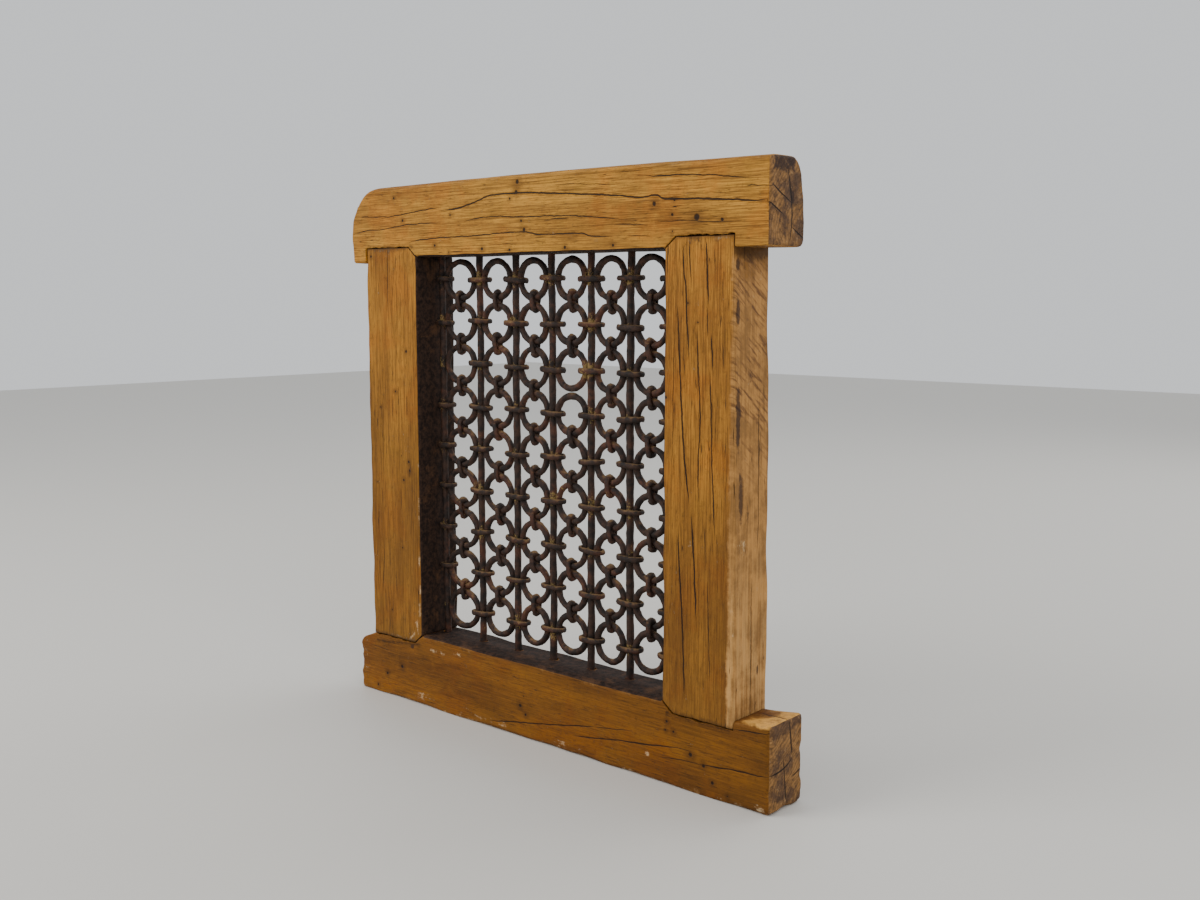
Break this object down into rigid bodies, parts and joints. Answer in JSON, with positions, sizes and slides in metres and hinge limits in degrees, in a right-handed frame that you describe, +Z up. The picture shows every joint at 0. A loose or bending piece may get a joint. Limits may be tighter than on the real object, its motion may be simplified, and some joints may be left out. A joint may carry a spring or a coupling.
{
  "type": "jali window",
  "caption": "Old rustic timber window frame holding a see-through iron lattice of tied rings on upright bars; stands on its sill.",
  "frame": {"origin": "middle of the footprint, on the plane that the sill rests on", "axes": "+Z up; -Y is the front, the side that the picture shows; +X to the right as seen from the front"},
  "size_m": [0.6378, 0.06, 0.6384],
  "materials": {
    "timber": "old waxed hardwood, checked and worn",
    "iron": "dark rusty wrought iron"
  },
  "bodies": {
    "root": {"sill": "timber", "stile_left": "timber", "stile_right": "timber", "head": "timber", "bar_1": "iron", "bar_2": "iron", "bar_3": "iron", "bar_4": "iron", "bar_5": "iron", "bar_6": "iron", "bar_7": "iron", "ring_chain_1": "iron", "ring_chain_2": "iron", "ring_chain_3": "iron", "ring_chain_4_upper": "iron", "ring_chain_4_lower": "iron", "ring_chain_5": "iron", "ring_chain_6": "iron"}
  },
  "joints": []
}
